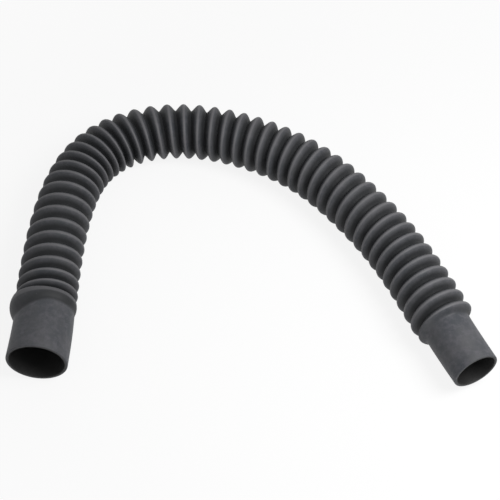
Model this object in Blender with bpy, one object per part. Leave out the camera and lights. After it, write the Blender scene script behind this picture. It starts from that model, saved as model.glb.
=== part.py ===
# Recovery tank drain hose for a floor scrubber: one moulded rubber hose.
# A single helical rib runs the whole way between a wide plain cuff and a narrow one.
# The hose lies on a surface in the bend it was stored in, resting on the crests of its rib.
# The frame is in metres, +Z up, with its origin under the middle of the hose.

import math

import bmesh
import bpy
import numpy as np

# Ribbed wall
CREST_DIAMETER = 0.0516
RIB_DEPTH = 0.0065
RIB_PITCH = 0.0131
# Power of a sine wave that draws the rib: 1 gives round crests, 2 gives crests as narrow as the grooves
RIB_SHARPNESS = 1.25
WALL = 0.0025

# Wide cuff, at the left end: its outer diameter at the mouth and where it meets the shoulder
WIDE_MOUTH_DIAMETER = 0.0496
WIDE_ROOT_DIAMETER = 0.0490
WIDE_CUFF_LENGTH = 0.0485

# Shoulder between the wide cuff and the first groove: a crest that swells on the outside of the bend,
# most of all a little above the left side, where it also starts nearer to the mouth
SHOULDER_LENGTH = 0.0087
SHOULDER_SWELL = 0.0032
SHOULDER_REACH = 0.0102
SHOULDER_TURN = math.radians(20)
# Power of the cosine by which the swell dies away round the hose
SHOULDER_FADE = 1.5
# Share of the shoulder's length at which it is fattest
SHOULDER_PEAK = 0.70

# Narrow cuff, at the right end: its outer diameter at the mouth and where it meets the rib
NARROW_MOUTH_DIAMETER = 0.0389
NARROW_ROOT_DIAMETER = 0.0402
NARROW_CUFF_LENGTH = 0.0425

# Rounded edge of both mouths
RIM_ROUND = 0.0007

# Facets round the hose, and rows of faces along one turn of the rib
FACETS = 16
OUTER_ROWS = 4
INNER_ROWS = OUTER_ROWS // 2

# How far round from the left side the rib's groove starts, the turns it takes to reach its depth,
# and the turns over which it fades at its end
GROOVE_START = math.radians(22.5)
RUN_IN_TURNS = 0.15
RUN_OUT_TURNS = 0.50

# Route of the centreline over the surface, from the middle of the wide cuff's mouth
ROUTE = (
    (0.0000, 0.0000), (0.0009, 0.0307), (0.0003, 0.0613), (0.0001, 0.0920),
    (0.0009, 0.1227), (0.0032, 0.1533), (0.0081, 0.1835), (0.0181, 0.2123),
    (0.0365, 0.2364), (0.0627, 0.2522), (0.0925, 0.2590), (0.1231, 0.2579),
    (0.1528, 0.2508), (0.1812, 0.2392), (0.2077, 0.2238), (0.2314, 0.2044),
    (0.2522, 0.1818), (0.2706, 0.1574), (0.2873, 0.1317), (0.3020, 0.1047),
    (0.3146, 0.0767), (0.3261, 0.0483), (0.3376, 0.0199), (0.3500, -0.0081),
)

# Middle of the hose's outline on the surface, from the same mouth
MIDDLE = (0.1696, 0.1347)

# The rib is squeezed in the tight bend and drawn out after it:
# share of the ribbed length, and spacing there against RIB_PITCH
SPACING = (
    (0.00, 0.74), (0.02, 0.85), (0.05, 1.03), (0.09, 1.09), (0.14, 1.12),
    (0.19, 1.07), (0.24, 0.90), (0.32, 0.90), (0.36, 1.03), (0.40, 1.10),
    (0.49, 1.04), (0.65, 1.05), (0.79, 1.08), (0.83, 0.97), (1.00, 1.02),
)

RUBBER_COLOUR = (0.047, 0.050, 0.054, 1.0)
RUBBER_ROUGHNESS = 0.62

# Rings that draw the shoulder, as shares of its length
SHOULDER_SHARES = (0.0, 0.25, 0.5, 0.75, 1.0)

# Points along the centreline for each stretch of its route, and along the table of the rib's spacing
STEPS_PER_SPAN = 24
SPACING_STEPS = 400

# Points closer than this are one point, and edges sharper than this angle look sharp
MERGE_DISTANCE = 0.000002
SHARP_ANGLE = math.radians(50)


def clear_scene():
    for old in list(bpy.data.objects):
        bpy.data.objects.remove(old, do_unlink=True)


def spline_through(points):
    """Smooth curve through points: a natural cubic spline over the chord lengths."""
    points = np.array(points, dtype=float)
    chords = np.linalg.norm(np.diff(points, axis=0), axis=1)
    count = len(points)
    system = np.eye(count)
    target = np.zeros_like(points)
    for i in range(1, count - 1):
        before, after = chords[i - 1], chords[i]
        system[i, i - 1:i + 2] = (before, 2 * (before + after), after)
        slope_after = (points[i + 1] - points[i]) / after
        slope_before = (points[i] - points[i - 1]) / before
        target[i] = 6 * (slope_after - slope_before)
    bends = np.linalg.solve(system, target)
    curve = []
    for i, chord in enumerate(chords):
        for step in range(STEPS_PER_SPAN):
            b = step / STEPS_PER_SPAN
            a = 1 - b
            curve.append(
                a * points[i] + b * points[i + 1]
                + ((a ** 3 - a) * bends[i] + (b ** 3 - b) * bends[i + 1]) * chord ** 2 / 6
            )
    curve.append(points[-1])
    return np.array(curve)


class Centreline:
    """The hose's centreline, measured by length along it from the wide cuff's mouth."""

    def __init__(self):
        flat = spline_through(ROUTE) - np.array(MIDDLE)
        steps = np.linalg.norm(np.diff(flat, axis=0), axis=1)
        self.along = np.concatenate(([0.0], np.cumsum(steps)))
        self.length = self.along[-1]
        self.flat = flat
        self.heading = np.gradient(flat, self.along, axis=0)

    def point(self, along, angle, radius):
        """Point at a radius from the centreline, at an angle from the left side over the top."""
        x, y = (np.interp(along, self.along, self.flat[:, k]) for k in (0, 1))
        dx, dy = (np.interp(along, self.along, self.heading[:, k]) for k in (0, 1))
        size = math.hypot(dx, dy)
        side = radius * math.cos(angle)
        height = CREST_DIAMETER / 2 + radius * math.sin(angle)
        return (x - side * dy / size, y + side * dx / size, height)


class Rib:
    """The helical rib: where its turns lie along the hose, and its radius there."""

    def __init__(self, hose_length):
        self.start = WIDE_CUFF_LENGTH + SHOULDER_LENGTH
        self.end = hose_length - NARROW_CUFF_LENGTH
        ribbed = self.end - self.start
        self.turns = round(ribbed / RIB_PITCH * OUTER_ROWS) / OUTER_ROWS
        share = np.linspace(0, 1, SPACING_STEPS)
        density = 1 / np.interp(share, *zip(*SPACING))
        turn = np.concatenate(([0.0], np.cumsum((density[1:] + density[:-1]) / 2)))
        self.turn_stations = turn / turn[-1] * self.turns
        self.along_stations = self.start + share * ribbed

    def along(self, turn):
        return np.interp(turn, self.turn_stations, self.along_stations)

    def radius(self, turn, phase, angle):
        """Outer radius: rounded crests between narrower grooves, fading into both cuffs."""
        crest = CREST_DIAMETER / 2
        height = abs(math.sin(math.pi * phase)) ** RIB_SHARPNESS
        ribbed = crest - RIB_DEPTH * (1 - height)
        run_in = smooth(turn / RUN_IN_TURNS)
        run_out = smooth((self.turns - turn) / RUN_OUT_TURNS)
        radius = shoulder_radius(angle) * (1 - run_in) + ribbed * run_in
        return NARROW_ROOT_DIAMETER / 2 * (1 - run_out) + radius * run_out


def smooth(share):
    share = min(max(share, 0.0), 1.0)
    return share * share * (3 - 2 * share)


def shoulder_swell(angle):
    """How much of its swell the shoulder has at an angle: none on the inside of the bend."""
    return max(math.cos(angle - SHOULDER_TURN), 0.0) ** SHOULDER_FADE


def shoulder_radius(angle, share=1.0):
    """Outer radius of the shoulder, at a share of its length from the cuff."""
    cuff = WIDE_ROOT_DIAMETER / 2
    peak = CREST_DIAMETER / 2 + SHOULDER_SWELL * shoulder_swell(angle)
    return cuff + (peak - cuff) * math.sin(math.pi / 2 * share / SHOULDER_PEAK)


def add_ring(mesh, centreline, along_at, radius_at):
    """One ring of points, its place along the hose and its radius given for each angle."""
    ring = []
    for column in range(FACETS):
        angle = GROOVE_START + column * math.tau / FACETS
        ring.append(mesh.verts.new(centreline.point(along_at(angle), angle, radius_at(angle))))
    return ring


def add_shoulder_ring(mesh, centreline, share, inset):
    """A ring at a share of the shoulder's length from the cuff."""
    end = WIDE_CUFF_LENGTH + SHOULDER_LENGTH

    def along_at(angle):
        return end - (SHOULDER_LENGTH + SHOULDER_REACH * shoulder_swell(angle)) * (1 - share)

    return add_ring(mesh, centreline, along_at, lambda angle: shoulder_radius(angle, share) - inset)


def join_rings(mesh, first, second):
    for column in range(FACETS):
        after = (column + 1) % FACETS
        mesh.faces.new((first[column], first[after], second[after], second[column]))


def add_ribbed_skin(mesh, centreline, rib, rows, inset):
    """Skin of the ribbed stretch: rows of faces that follow the helix.

    A row climbs one turn's length on its way round, so column 0 meets the last column
    one whole turn on. Rows that would pass either end stop there, on a plain ring.
    """
    columns = []
    first_row = -rows
    last_row = math.ceil(rib.turns * rows)
    for column in range(FACETS + 1):
        angle = GROOVE_START + column * math.tau / FACETS
        verts = []
        for row in range(first_row, last_row + 1):
            phase = row / rows
            turn = min(max(phase + column / FACETS, 0.0), rib.turns)
            radius = rib.radius(turn, turn - column / FACETS, angle) - inset
            verts.append(mesh.verts.new(centreline.point(rib.along(turn), angle, radius)))
        columns.append(verts)
    for column in range(FACETS):
        here, there = columns[column], columns[column + 1]
        for row in range(len(here) - 1):
            mesh.faces.new((here[row], there[row], there[row + 1], here[row + 1]))


def add_skin(mesh, centreline, rib, rows, inset):
    """One whole skin of the hose, from mouth to mouth; returns its two end rings."""
    wide_mouth = WIDE_MOUTH_DIAMETER / 2 - inset
    narrow_mouth = NARROW_MOUTH_DIAMETER / 2 - inset
    narrow_root = NARROW_ROOT_DIAMETER / 2 - inset
    rim = 0.0 if inset else RIM_ROUND
    length = centreline.length

    wide_rings = [
        add_ring(mesh, centreline, lambda angle: 0.0, lambda angle: wide_mouth - rim),
        add_ring(mesh, centreline, lambda angle: rim, lambda angle: wide_mouth),
    ]
    for share in SHOULDER_SHARES:
        wide_rings.append(add_shoulder_ring(mesh, centreline, share, inset))
    narrow_rings = [
        add_ring(mesh, centreline, lambda angle: rib.end, lambda angle: narrow_root),
        add_ring(mesh, centreline, lambda angle: length - rim, lambda angle: narrow_mouth),
        add_ring(mesh, centreline, lambda angle: length, lambda angle: narrow_mouth - rim),
    ]
    for rings in (wide_rings, narrow_rings):
        for first, second in zip(rings, rings[1:]):
            join_rings(mesh, first, second)
    add_ribbed_skin(mesh, centreline, rib, rows, inset)
    return wide_rings[0], narrow_rings[-1]


def rubber():
    material = bpy.data.materials.new("charcoal_rubber")
    material.use_nodes = True
    shader = material.node_tree.nodes["Principled BSDF"]
    shader.inputs["Base Color"].default_value = RUBBER_COLOUR
    shader.inputs["Roughness"].default_value = RUBBER_ROUGHNESS
    shader.inputs["Metallic"].default_value = 0.0
    return material


def make_drain_hose():
    centreline = Centreline()
    rib = Rib(centreline.length)
    mesh = bmesh.new()
    outer_ends = add_skin(mesh, centreline, rib, OUTER_ROWS, 0.0)
    inner_ends = add_skin(mesh, centreline, rib, INNER_ROWS, WALL)
    for outer, inner in zip(outer_ends, inner_ends):
        join_rings(mesh, outer, inner)
    bmesh.ops.remove_doubles(mesh, verts=mesh.verts, dist=MERGE_DISTANCE)
    bmesh.ops.triangulate(mesh, faces=mesh.faces)
    bmesh.ops.recalc_face_normals(mesh, faces=mesh.faces)

    data = bpy.data.meshes.new("drain_hose")
    mesh.to_mesh(data)
    mesh.free()
    data.materials.append(rubber())
    data.shade_smooth()
    data.set_sharp_from_angle(angle=SHARP_ANGLE)
    hose = bpy.data.objects.new("drain_hose", data)
    bpy.context.scene.collection.objects.link(hose)
    return hose


clear_scene()
make_drain_hose()
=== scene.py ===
import math

import bmesh
import bpy
import numpy as np
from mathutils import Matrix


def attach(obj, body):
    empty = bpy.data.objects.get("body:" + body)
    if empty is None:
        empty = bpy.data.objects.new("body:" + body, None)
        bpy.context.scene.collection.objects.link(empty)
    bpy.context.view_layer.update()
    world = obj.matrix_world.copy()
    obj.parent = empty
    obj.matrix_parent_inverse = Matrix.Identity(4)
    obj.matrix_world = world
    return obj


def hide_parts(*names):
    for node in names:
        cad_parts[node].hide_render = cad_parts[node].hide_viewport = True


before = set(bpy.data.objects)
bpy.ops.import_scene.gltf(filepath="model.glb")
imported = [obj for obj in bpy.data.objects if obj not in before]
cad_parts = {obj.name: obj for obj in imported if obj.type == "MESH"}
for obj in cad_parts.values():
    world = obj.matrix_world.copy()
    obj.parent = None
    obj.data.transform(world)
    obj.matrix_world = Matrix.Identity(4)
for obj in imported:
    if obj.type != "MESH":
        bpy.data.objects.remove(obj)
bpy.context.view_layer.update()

# Camera, as fitted to the outline of the hose in the photograph
CAMERA_PLACE = (0.0009, -0.5794, 0.7303)
CAMERA_PITCH = math.radians(51.54)
CAMERA_LENS = 74.67
CAMERA_SENSOR = 36
CAMERA_CLIP = 0.01

# The hose's driving dimensions, in metres
CREST_DIAMETER = 0.0516
RIB_DEPTH = 0.0065
RIB_PITCH = 0.0131
RIB_SHARPNESS = 1.25
WALL = 0.0025
WIDE_MOUTH_DIAMETER = 0.0496
WIDE_ROOT_DIAMETER = 0.0490
WIDE_CUFF_LENGTH = 0.0485
SHOULDER_LENGTH = 0.0087
SHOULDER_SWELL = 0.0032
SHOULDER_REACH = 0.0102
SHOULDER_TURN = math.radians(20)
SHOULDER_FADE = 1.5
SHOULDER_PEAK = 0.70
NARROW_MOUTH_DIAMETER = 0.0389
NARROW_ROOT_DIAMETER = 0.0402
NARROW_CUFF_LENGTH = 0.0425
RIM_ROUND = 0.0008
INNER_RIM_ROUND = 0.0005

# Faces round the hose, rows of them in a turn of the rib, and rings of points along the cuffs
COLUMNS = 80
OUTER_ROWS = 16
INNER_ROWS = 5
CUFF_RINGS = 14
SHOULDER_RINGS = 12
EDGE_RINGS = 5

# Where the rib's groove starts round the hose, the turns it takes to deepen and to fade, and the
# parts of a turn in which its whole length is counted
GROOVE_START = math.radians(22.5)
RUN_IN_TURNS = 0.15
RUN_OUT_TURNS = 0.50
TURN_PARTS = 4

# Painted shade in the crease behind the wide cuff and on the shoulder's far edge, how far it reaches
# onto the cuff, and the share of it that is missing where the shoulder swells most
CREASE_PAINTED_SHADE = 0.80
SHOULDER_PAINTED_SHADE = 0.26
CREASE_REACH = 0.0014
SWELL_UNSHADED = 0.50

# Wear and a painted highlight on the shoulder where it is widest, as on a crest of the rib
SHOULDER_WEAR_AND_HIGHLIGHT = 0.96

# Colours of the rubber: in its darker and plainer blotches, where it is scuffed, in painted shade,
# where it is worn and brightened by a painted highlight, where it is dusty, and as painted shade
# inside the bore
DARK = (0.041, 0.045, 0.052, 1.0)
PLAIN = (0.071, 0.072, 0.077, 1.0)
SCUFFED = (0.092, 0.089, 0.101, 1.0)
PAINTED_SHADE_COLOUR = (0.011, 0.012, 0.013, 1.0)
WORN_AND_HIGHLIGHT = (0.134, 0.132, 0.139, 1.0)
DUST = (0.140, 0.142, 0.148, 1.0)
PAINTED_BORE_SHADE = (0.022, 0.022, 0.022, 1.0)

# Fineness of the rubber's noises, as Blender's scale for a place in metres
BLOTCH_SCALE = 42.0
MOTTLE_SCALE = 210.0
SPECK_SCALE = 900.0
GRAIN_SCALE = 2600.0

# Height that the blotches and the moulded grain seem to have
BLOTCH_HEIGHT = 0.0004
GRAIN_HEIGHT = 0.00008

# Floor just under the hose, and the share of plain white that camera and mirrored rays see in it:
# less by the hose, so that its shadow shows, and rising to all of it between two distances
FLOOR_SIZE = 8.0
FLOOR_DROP = 0.0002
FLOOR_COLOUR = (0.90, 0.90, 0.90, 1.0)
WHITE = (1.0, 1.0, 1.0, 1.0)
FLOOR_LIFT = 0.87
FLOOR_FADE_START = 0.25
FLOOR_FADE_END = 0.90

# Even light from all round, and one round lamp above and beside the narrow cuff's leg
WORLD_STRENGTH = 0.34
KEY_PLACE = (0.38, -0.18, 0.58)
KEY_AIM = (0.10, -0.02, 0.0)
KEY_SIZE = 0.40
KEY_POWER = 4.0

# Route of the centreline over the surface, from the middle of the wide cuff's mouth
ROUTE = (
    (0.0000, 0.0000), (0.0009, 0.0307), (0.0003, 0.0613), (0.0001, 0.0920),
    (0.0009, 0.1227), (0.0032, 0.1533), (0.0081, 0.1835), (0.0181, 0.2123),
    (0.0365, 0.2364), (0.0627, 0.2522), (0.0925, 0.2590), (0.1231, 0.2579),
    (0.1528, 0.2508), (0.1812, 0.2392), (0.2077, 0.2238), (0.2314, 0.2044),
    (0.2522, 0.1818), (0.2706, 0.1574), (0.2873, 0.1317), (0.3020, 0.1047),
    (0.3146, 0.0767), (0.3261, 0.0483), (0.3376, 0.0199), (0.3500, -0.0081),
)

# Point of the route that lies over the frame's origin, at the middle of the hose's outline
MIDDLE = (0.1696, 0.1347)

# Share of the ribbed length, and the rib's spacing there against RIB_PITCH
SPACING = (
    (0.00, 0.74), (0.02, 0.85), (0.05, 1.03), (0.09, 1.09), (0.14, 1.12),
    (0.19, 1.07), (0.24, 0.90), (0.32, 0.90), (0.36, 1.03), (0.40, 1.10),
    (0.49, 1.04), (0.65, 1.05), (0.79, 1.08), (0.83, 0.97), (1.00, 1.02),
)

# Steps between two points of the route, and for adding up the rib's spacing
STEPS_PER_SPAN = 24
SPACING_STEPS = 400

# Distance within which points of neighbouring grids are joined, and the angle that stays a sharp edge
MERGE_DISTANCE = 0.000001
SHARP_ANGLE = math.radians(60)


def spline_through(points):
    """Smooth curve through points: a natural cubic spline over the chord lengths."""
    points = np.array(points, dtype=float)
    chords = np.linalg.norm(np.diff(points, axis=0), axis=1)
    count = len(points)
    system = np.eye(count)
    target = np.zeros_like(points)
    for i in range(1, count - 1):
        before, after = chords[i - 1], chords[i]
        system[i, i - 1:i + 2] = (before, 2 * (before + after), after)
        slope_after = (points[i + 1] - points[i]) / after
        slope_before = (points[i] - points[i - 1]) / before
        target[i] = 6 * (slope_after - slope_before)
    bends = np.linalg.solve(system, target)
    curve = []
    for i, chord in enumerate(chords):
        for step in range(STEPS_PER_SPAN):
            b = step / STEPS_PER_SPAN
            a = 1 - b
            curve.append(
                a * points[i] + b * points[i + 1]
                + ((a ** 3 - a) * bends[i] + (b ** 3 - b) * bends[i + 1]) * chord ** 2 / 6
            )
    curve.append(points[-1])
    return np.array(curve)


class Centreline:
    """The hose's centreline, measured by length along it from the wide cuff's mouth."""

    def __init__(self):
        self.flat = spline_through(ROUTE) - np.array(MIDDLE)
        steps = np.linalg.norm(np.diff(self.flat, axis=0), axis=1)
        self.along = np.concatenate(([0.0], np.cumsum(steps)))
        self.length = float(self.along[-1])
        self.heading = np.gradient(self.flat, self.along, axis=0)

    def points(self, along, angle, radius):
        """Points at a radius from the centreline, at an angle from the left side over the top."""
        x, y = (np.interp(along, self.along, self.flat[:, k]) for k in (0, 1))
        dx, dy = (np.interp(along, self.along, self.heading[:, k]) for k in (0, 1))
        size = np.hypot(dx, dy)
        side = radius * np.cos(angle)
        height = CREST_DIAMETER / 2 + radius * np.sin(angle)
        return np.stack((x - side * dy / size, y + side * dx / size, height), axis=-1)


def smooth(share):
    """Eased step from 0 to 1."""
    share = np.clip(share, 0.0, 1.0)
    return share * share * (3 - 2 * share)


def shoulder_swell(angle):
    """How much of its swell the shoulder has at an angle: none on the inside of the bend."""
    return np.maximum(np.cos(angle - SHOULDER_TURN), 0.0) ** SHOULDER_FADE


def shoulder_painted_shade(angle):
    """Share of the shoulder's full painted shade at an angle."""
    return 1 - SWELL_UNSHADED * shoulder_swell(angle)


def shoulder_radius(angle, share=1.0):
    """Outer radius of the shoulder, at a share of its length from the cuff."""
    cuff = WIDE_ROOT_DIAMETER / 2
    peak = CREST_DIAMETER / 2 + SHOULDER_SWELL * shoulder_swell(angle)
    return cuff + (peak - cuff) * np.sin(math.pi / 2 * share / SHOULDER_PEAK)


class Rib:
    """The helical rib: where its turns lie along the hose, and its radius there."""

    def __init__(self, hose_length):
        self.start = WIDE_CUFF_LENGTH + SHOULDER_LENGTH
        self.end = hose_length - NARROW_CUFF_LENGTH
        ribbed = self.end - self.start
        self.turns = round(ribbed / RIB_PITCH * TURN_PARTS) / TURN_PARTS
        share = np.linspace(0, 1, SPACING_STEPS)
        density = 1 / np.interp(share, *zip(*SPACING))
        turn = np.concatenate(([0.0], np.cumsum((density[1:] + density[:-1]) / 2)))
        self.turn_stations = turn / turn[-1] * self.turns
        self.along_stations = self.start + share * ribbed

    def along(self, turn):
        """Length along the hose at which a turn of the rib lies."""
        return np.interp(turn, self.turn_stations, self.along_stations)

    def height(self, phase):
        """Height of the surface between the groove, at whole phases, and the crest, at halves."""
        return np.abs(np.sin(np.pi * phase)) ** RIB_SHARPNESS

    def ribbing(self, turn):
        """How fully the groove is formed: none at both cuffs, all of it between them."""
        return smooth(turn / RUN_IN_TURNS) * smooth((self.turns - turn) / RUN_OUT_TURNS)

    def radius(self, turn, phase, angle):
        """Outer radius: the shoulder's at the start, the rib's, and the narrow cuff's at the end."""
        ribbed = CREST_DIAMETER / 2 - RIB_DEPTH * (1 - self.height(phase))
        run_in = smooth(turn / RUN_IN_TURNS)
        run_out = smooth((self.turns - turn) / RUN_OUT_TURNS)
        radius = shoulder_radius(angle) * (1 - run_in) + ribbed * run_in
        return NARROW_ROOT_DIAMETER / 2 * (1 - run_out) + radius * run_out


class Skin:
    """Collects grids of points, each marked by its wear and painted highlight, its painted shade, and
    whether it is inside.
    """

    def __init__(self):
        self.points = []
        self.marks = {"wear_and_highlight": [], "painted_shade": [], "inside": []}
        self.faces = []
        self.count = 0

    def add_grid(self, points, wear_and_highlight, painted_shade, inside, closed):
        """A grid of faces over points[row][column]; closed joins the last column to the first."""
        rows, columns = points.shape[:2]
        first = self.count
        self.points.append(points.reshape(-1, 3))
        for mark, values in (("wear_and_highlight", wear_and_highlight), ("painted_shade", painted_shade), ("inside", float(inside))):
            self.marks[mark].append(np.broadcast_to(values, (rows, columns)).reshape(-1))
        self.count += rows * columns
        spans = columns if closed else columns - 1
        for row in range(rows - 1):
            low, high = first + row * columns, first + (row + 1) * columns
            for column in range(spans):
                after = (column + 1) % columns
                self.faces.append((low + column, low + after, high + after, high + column))
        first_row = first + np.arange(columns)
        return first_row, first_row + (rows - 1) * columns

    def build(self, name):
        """Mesh of all the grids, joined where they meet."""
        data = bpy.data.meshes.new(name)
        data.from_pydata(np.concatenate(self.points).tolist(), [], self.faces)
        for mark, values in self.marks.items():
            attribute = data.attributes.new(mark, "FLOAT", "POINT")
            attribute.data.foreach_set("value", np.concatenate(values))
        mesh = bmesh.new()
        mesh.from_mesh(data)
        bmesh.ops.remove_doubles(mesh, verts=mesh.verts, dist=MERGE_DISTANCE)
        bmesh.ops.recalc_face_normals(mesh, faces=mesh.faces)
        mesh.to_mesh(data)
        mesh.free()
        return data


def add_ribbed_grid(skin, centreline, rib, rows, inset):
    """The ribbed stretch: rows that follow the helix, held to a plain ring at either end."""
    column = np.arange(COLUMNS + 1)[None, :]
    row = np.arange(-rows, math.ceil(rib.turns * rows) + 1)[:, None]
    angle = GROOVE_START + column * math.tau / COLUMNS
    turn = np.clip(row / rows + column / COLUMNS, 0.0, rib.turns)
    phase = turn - column / COLUMNS
    radius = rib.radius(turn, phase, angle) - inset
    points = centreline.points(rib.along(turn), angle, radius)
    height, ribbing = rib.height(phase), rib.ribbing(turn)
    # Painted shade: down in the groove and at the shoulder's edge, less where the shoulder swells
    edge_painted_shade = SHOULDER_PAINTED_SHADE * shoulder_painted_shade(angle) * (1 - smooth(turn))
    # Wear and a painted highlight: along the crest and on the shoulder's edge
    edge_wear_and_highlight = SHOULDER_WEAR_AND_HIGHLIGHT * (1 - smooth(turn / RUN_IN_TURNS))
    painted_shade = np.maximum((1 - height) * ribbing, edge_painted_shade)
    wear_and_highlight = np.maximum(height * ribbing, edge_wear_and_highlight)
    skin.add_grid(points, wear_and_highlight, painted_shade, inset > 0, closed=False)


def round_angles():
    """Angles of a plain ring's points, in step with the ribbed stretch."""
    return (GROOVE_START + np.arange(COLUMNS) * math.tau / COLUMNS)[None, :]


def shoulder_length(angle):
    """Length of the shoulder at an angle, from the crease to the first groove."""
    return SHOULDER_LENGTH + SHOULDER_REACH * shoulder_swell(angle)


def edge_steps(rounding):
    """Steps over the rounded edge of a mouth, finer towards the rim."""
    return rounding * (1 - np.cos(np.linspace(0, math.pi / 2, EDGE_RINGS)))[:, None]


def edge_drop(from_mouth, rounding):
    """How far the surface has turned in near the mouth, against the rounding's radius."""
    left = 1 - np.clip(from_mouth / rounding, 0, 1)
    return 1 - np.sqrt(1 - left ** 2)


def edge_rounding(inset):
    """Rounding of a mouth's edge, and how far the surface turns in there: outwards inside the wall."""
    if inset:
        return INNER_RIM_ROUND, -INNER_RIM_ROUND
    return RIM_ROUND, RIM_ROUND


def add_wide_cuff(skin, centreline, rib, inset):
    """Wide cuff and shoulder, from the mouth to the first groove; returns the mouth's ring."""
    rounding, turn_in = edge_rounding(inset)
    angle = round_angles()
    length = shoulder_length(angle)
    start = rib.start - length
    cuff_steps = np.linspace(0, 1, CUFF_RINGS)[1:, None]
    shares = np.linspace(0, 1, SHOULDER_RINGS)[1:, None]
    along = np.vstack((
        edge_steps(rounding) + 0 * angle,
        rounding + (start - rounding) * cuff_steps,
        start + length * shares,
    ))
    cuff = (WIDE_MOUTH_DIAMETER + (WIDE_ROOT_DIAMETER - WIDE_MOUTH_DIAMETER) * along / start) / 2
    share = np.clip((along - start) / length, 0, 1)
    shoulder = shoulder_radius(angle, share)
    radius = np.where(along < start, cuff, shoulder) - inset - turn_in * edge_drop(along, rounding)
    points = centreline.points(along, angle + 0 * along, radius)
    # Painted shade in the crease behind the cuff and over the shoulder, less where the shoulder swells
    before = CREASE_PAINTED_SHADE * smooth((along - start) / CREASE_REACH + 1)
    behind = CREASE_PAINTED_SHADE + (SHOULDER_PAINTED_SHADE - CREASE_PAINTED_SHADE) * smooth(share)
    painted_shade = np.where(along < start, before, behind) * shoulder_painted_shade(angle)
    # Wear and a painted highlight where the shoulder is widest
    wear_and_highlight = SHOULDER_WEAR_AND_HIGHLIGHT * smooth(share / SHOULDER_PEAK)
    return skin.add_grid(points, wear_and_highlight, painted_shade, inset > 0, closed=True)[0]


def add_narrow_cuff(skin, centreline, rib, inset):
    """Narrow cuff, from the last groove to the mouth; returns the mouth's ring."""
    rounding, turn_in = edge_rounding(inset)
    angle = round_angles()
    length = centreline.length - rib.end
    cuff_steps = np.linspace(0, 1, CUFF_RINGS)[1:, None]
    from_mouth = np.vstack((edge_steps(rounding), rounding + (length - rounding) * cuff_steps))[::-1]
    taper = NARROW_ROOT_DIAMETER - NARROW_MOUTH_DIAMETER
    cuff = (NARROW_MOUTH_DIAMETER + taper * from_mouth / length) / 2
    radius = cuff - inset - turn_in * edge_drop(from_mouth, rounding) + 0 * angle
    points = centreline.points(centreline.length - from_mouth + 0 * angle, angle + 0 * radius, radius)
    return skin.add_grid(points, 0.0, 0.0, inset > 0, closed=True)[1]


def make_hose(centreline, rib):
    """The hose's mesh: the outside and the inside of its wall, joined by a flat rim at each mouth."""
    skin = Skin()
    ends = []
    for rows, inset in ((OUTER_ROWS, 0.0), (INNER_ROWS, WALL)):
        ends.append((
            add_wide_cuff(skin, centreline, rib, inset),
            add_narrow_cuff(skin, centreline, rib, inset),
        ))
        add_ribbed_grid(skin, centreline, rib, rows, inset)
    for outer, inner in zip(*ends):
        for column in range(COLUMNS):
            after = (column + 1) % COLUMNS
            skin.faces.append((outer[column], outer[after], inner[after], inner[column]))
    data = skin.build("hose")
    data.shade_smooth()
    data.set_sharp_from_angle(angle=SHARP_ANGLE)
    hose = bpy.data.objects.new("hose", data)
    bpy.context.scene.collection.objects.link(hose)
    return hose


class Nodes:
    """Short calls for building the nodes of a material or of the world."""

    def __init__(self, holder):
        self.holder = holder
        holder.use_nodes = True
        self.tree = holder.node_tree
        self.shader = self.tree.nodes.get("Principled BSDF") or self.tree.nodes["Background"]
        self.output = self.tree.nodes.get("Material Output") or self.tree.nodes["World Output"]

    def add(self, kind, **settings):
        node = self.tree.nodes.new(kind)
        for name, value in settings.items():
            setattr(node, name, value)
        return node

    def link(self, source, target):
        self.tree.links.new(source, target)

    def noise(self, coordinates, scale, detail=4.0, roughness=0.5):
        node = self.add("ShaderNodeTexNoise")
        node.inputs["Scale"].default_value = scale
        node.inputs["Detail"].default_value = detail
        node.inputs["Roughness"].default_value = roughness
        self.link(coordinates, node.inputs["Vector"])
        return node.outputs["Fac"]

    def spread(self, value, low, high, to_low=0.0, to_high=1.0):
        """Maps the values from low to high onto those from to_low to to_high, and holds the rest."""
        node = self.add("ShaderNodeMapRange")
        limits = {"From Min": low, "From Max": high, "To Min": to_low, "To Max": to_high}
        for name, number in limits.items():
            node.inputs[name].default_value = number
        self.link(value, node.inputs["Value"])
        return node.outputs["Result"]

    def mix(self, share, first, second):
        """Colour between the first and the second, by the share of the second."""
        node = self.add("ShaderNodeMix", data_type="RGBA")
        for slot, value in ((0, share), (6, first), (7, second)):
            if isinstance(value, tuple):
                node.inputs[slot].default_value = value
            else:
                self.link(value, node.inputs[slot])
        return node.outputs[2]

    def seen(self):
        """1 for rays from the camera, off a mirror and through glass, and 0 for those that light."""
        rays = self.add("ShaderNodeLightPath")
        seen = rays.outputs["Is Camera Ray"]
        for name in ("Is Glossy Ray", "Is Transmission Ray"):
            either = self.add("ShaderNodeMath", operation="MAXIMUM")
            self.link(seen, either.inputs[0])
            self.link(rays.outputs[name], either.inputs[1])
            seen = either.outputs[0]
        return seen

    def mix_shader(self, share, other):
        """Shows the other shader for a share, and what was there for the rest."""
        blend = self.add("ShaderNodeMixShader")
        self.link(share, blend.inputs[0])
        self.link(self.shader.outputs[0], blend.inputs[1])
        self.link(other.outputs[0], blend.inputs[2])
        self.link(blend.outputs[0], self.output.inputs["Surface"])

    def bump(self, height, distance, strength, normal=None):
        node = self.add("ShaderNodeBump")
        node.inputs["Distance"].default_value = distance
        node.inputs["Strength"].default_value = strength
        self.link(height, node.inputs["Height"])
        if normal is not None:
            self.link(normal, node.inputs["Normal"])
        return node.outputs["Normal"]


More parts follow.
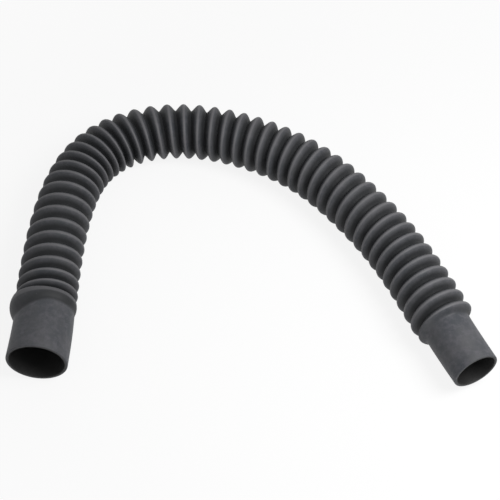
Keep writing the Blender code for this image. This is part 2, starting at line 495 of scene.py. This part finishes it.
def rubber():
    """Matt charcoal rubber: painted shade in grooves and bore, crests paler by wear and painted
    highlight, faint blotches, dust and a moulded grain.
    """
    nodes = Nodes(bpy.data.materials.new("charcoal_rubber"))
    place = nodes.add("ShaderNodeTexCoord").outputs["Object"]
    wear_and_highlight, painted_shade, inside = (
        nodes.add("ShaderNodeAttribute", attribute_name=mark).outputs["Fac"]
        for mark in ("wear_and_highlight", "painted_shade", "inside")
    )
    blotches = nodes.noise(place, BLOTCH_SCALE, 5.0, 0.55)
    mottle = nodes.noise(place, MOTTLE_SCALE, 4.0, 0.6)
    specks = nodes.noise(place, SPECK_SCALE, 2.0, 0.6)
    grain = nodes.noise(place, GRAIN_SCALE, 3.0, 0.6)

    colour = nodes.mix(nodes.spread(blotches, 0.35, 0.65), DARK, PLAIN)
    colour = nodes.mix(nodes.spread(mottle, 0.44, 0.74, 0.0, 0.8), colour, SCUFFED)
    # Painted shade in the grooves, the crease and over the shoulder
    colour = nodes.mix(nodes.spread(painted_shade, 0.0, 0.58, 0.0, 0.93), colour, PAINTED_SHADE_COLOUR)
    # Crests paler with wear and a painted highlight
    colour = nodes.mix(nodes.spread(wear_and_highlight, 0.91, 1.0, 0.0, 0.85), colour, WORN_AND_HIGHLIGHT)
    colour = nodes.mix(nodes.spread(specks, 0.66, 0.80, 0.0, 0.30), colour, DUST)
    # Painted shade inside the bore
    colour = nodes.mix(inside, colour, PAINTED_BORE_SHADE)
    nodes.link(colour, nodes.shader.inputs["Base Color"])
    nodes.link(nodes.spread(blotches, 0.3, 0.7, 0.52, 0.66), nodes.shader.inputs["Roughness"])
    nodes.shader.inputs["Specular IOR Level"].default_value = 0.30
    soft = nodes.bump(blotches, BLOTCH_HEIGHT, 0.35)
    nodes.link(nodes.bump(grain, GRAIN_HEIGHT, 0.6, soft), nodes.shader.inputs["Normal"])
    return nodes.holder


def white_floor():
    """Pale floor with a soft shadow, lifted towards white for the rays that show it."""
    nodes = Nodes(bpy.data.materials.new("floor"))
    nodes.shader.inputs["Base Color"].default_value = FLOOR_COLOUR
    nodes.shader.inputs["Roughness"].default_value = 0.9
    nodes.shader.inputs["Specular IOR Level"].default_value = 0.0
    white = nodes.add("ShaderNodeEmission")
    white.inputs["Color"].default_value = WHITE
    white.inputs["Strength"].default_value = 1.0
    distance = nodes.add("ShaderNodeVectorMath", operation="LENGTH")
    nodes.link(nodes.add("ShaderNodeTexCoord").outputs["Object"], distance.inputs[0])
    lift = nodes.spread(distance.outputs["Value"], FLOOR_FADE_START, FLOOR_FADE_END, FLOOR_LIFT, 1.0)
    share = nodes.add("ShaderNodeMath", operation="MULTIPLY")
    nodes.link(nodes.seen(), share.inputs[0])
    nodes.link(lift, share.inputs[1])
    nodes.mix_shader(share.outputs[0], white)
    return nodes.holder


def make_floor():
    bpy.ops.mesh.primitive_plane_add(size=FLOOR_SIZE, location=(0, 0, -FLOOR_DROP))
    floor = bpy.context.object
    floor.name = "floor"
    floor.data.materials.append(white_floor())


def make_camera():
    camera = bpy.data.objects.new("camera", bpy.data.cameras.new("camera"))
    camera.location = CAMERA_PLACE
    camera.rotation_euler = (math.pi / 2 - CAMERA_PITCH, 0, 0)
    camera.data.lens = CAMERA_LENS
    camera.data.sensor_width = CAMERA_SENSOR
    camera.data.clip_start = CAMERA_CLIP
    bpy.context.scene.collection.objects.link(camera)
    bpy.context.scene.camera = camera


def make_world():
    """White to the rays that show it, and plain even light to those that light the hose."""
    nodes = Nodes(bpy.data.worlds.new("studio"))
    nodes.shader.inputs["Color"].default_value = WHITE
    nodes.shader.inputs["Strength"].default_value = WORLD_STRENGTH
    white = nodes.add("ShaderNodeBackground")
    white.inputs["Color"].default_value = WHITE
    white.inputs["Strength"].default_value = 1.0
    nodes.mix_shader(nodes.seen(), white)
    bpy.context.scene.world = nodes.holder


def make_key_light():
    light = bpy.data.lights.new("key", "AREA")
    light.shape = "DISK"
    light.size = KEY_SIZE
    light.energy = KEY_POWER
    lamp = bpy.data.objects.new("key", light)
    lamp.location = KEY_PLACE
    back = np.array(KEY_PLACE) - np.array(KEY_AIM)
    lamp.rotation_euler = (0, math.acos(back[2] / np.linalg.norm(back)), math.atan2(back[1], back[0]))
    bpy.context.scene.collection.objects.link(lamp)


make_camera()
centreline = Centreline()
rib = Rib(centreline.length)
hose = make_hose(centreline, rib)
hose.data.materials.append(rubber())
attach(hose, "root")
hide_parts("drain_hose")
make_floor()
make_world()
make_key_light()
bpy.context.scene.view_settings.view_transform = "Standard"
